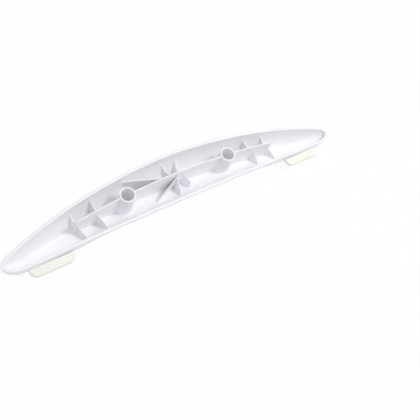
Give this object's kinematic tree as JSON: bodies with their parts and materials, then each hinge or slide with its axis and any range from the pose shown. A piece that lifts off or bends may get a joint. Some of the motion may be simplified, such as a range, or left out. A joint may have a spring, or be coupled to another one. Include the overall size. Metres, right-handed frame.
{
  "type": "refrigerator door handle",
  "caption": "Crescent-shaped moulded door handle with a smooth bowed face, a ribbed open back with screw wells, and flat feet along its straight edge.",
  "frame": {"origin": "centre of the bounding box, at its lowest level, which the smooth face touches", "axes": "+X runs along the handle, +Y points at its bowed edge, +Z points out of its open back, towards the door that it is screwed to"},
  "size_m": [0.31, 0.049, 0.0255],
  "materials": {
    "white_plastic": "smooth moulded white plastic with a soft shine",
    "natural_plastic": "milky natural plastic"
  },
  "bodies": {
    "root": {"handle_shell": "white_plastic", "left_foot": "natural_plastic", "right_foot": "natural_plastic"}
  },
  "joints": []
}
